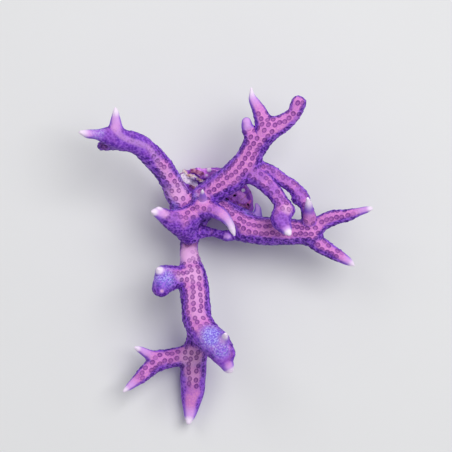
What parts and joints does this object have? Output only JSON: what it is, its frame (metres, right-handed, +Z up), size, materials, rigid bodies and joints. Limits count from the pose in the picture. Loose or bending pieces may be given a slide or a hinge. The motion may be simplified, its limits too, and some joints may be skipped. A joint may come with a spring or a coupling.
{
  "type": "birds nest coral",
  "caption": "Small branching coral with tapered, spreading tines, grown on a lumpy base stone that is cut off flat.",
  "frame": {"origin": "middle of the base stone's flat cut face", "axes": "+Z up out of the cut face, +X and +Y across it, with the column hanging out along -Y and the forked right arm along +X"},
  "size_m": [0.073, 0.0845, 0.0257],
  "materials": {
    "coral": "matt living tissue over a chalky skeleton, pink on top and violet below, with dark ring marks",
    "pale_coral": "the same tissue where it is pale pink",
    "crusted_stone": "rough stone under a patchy pink, maroon and cream crust"
  },
  "bodies": {
    "root": {"base_stone": "crusted_stone", "coral_stem": "coral", "front_horn": "coral", "curved_spike": "coral", "left_arm": "coral", "upper_arm": "coral", "blunt_tine": "coral", "sharp_tine": "coral", "inner_branch": "coral", "outer_branch": "coral", "right_arm": "coral", "high_tine": "coral", "low_tine": "coral", "column": "pale_coral", "column_stub": "coral", "trailing_branch": "coral", "trailing_fork": "coral"}
  },
  "joints": []
}
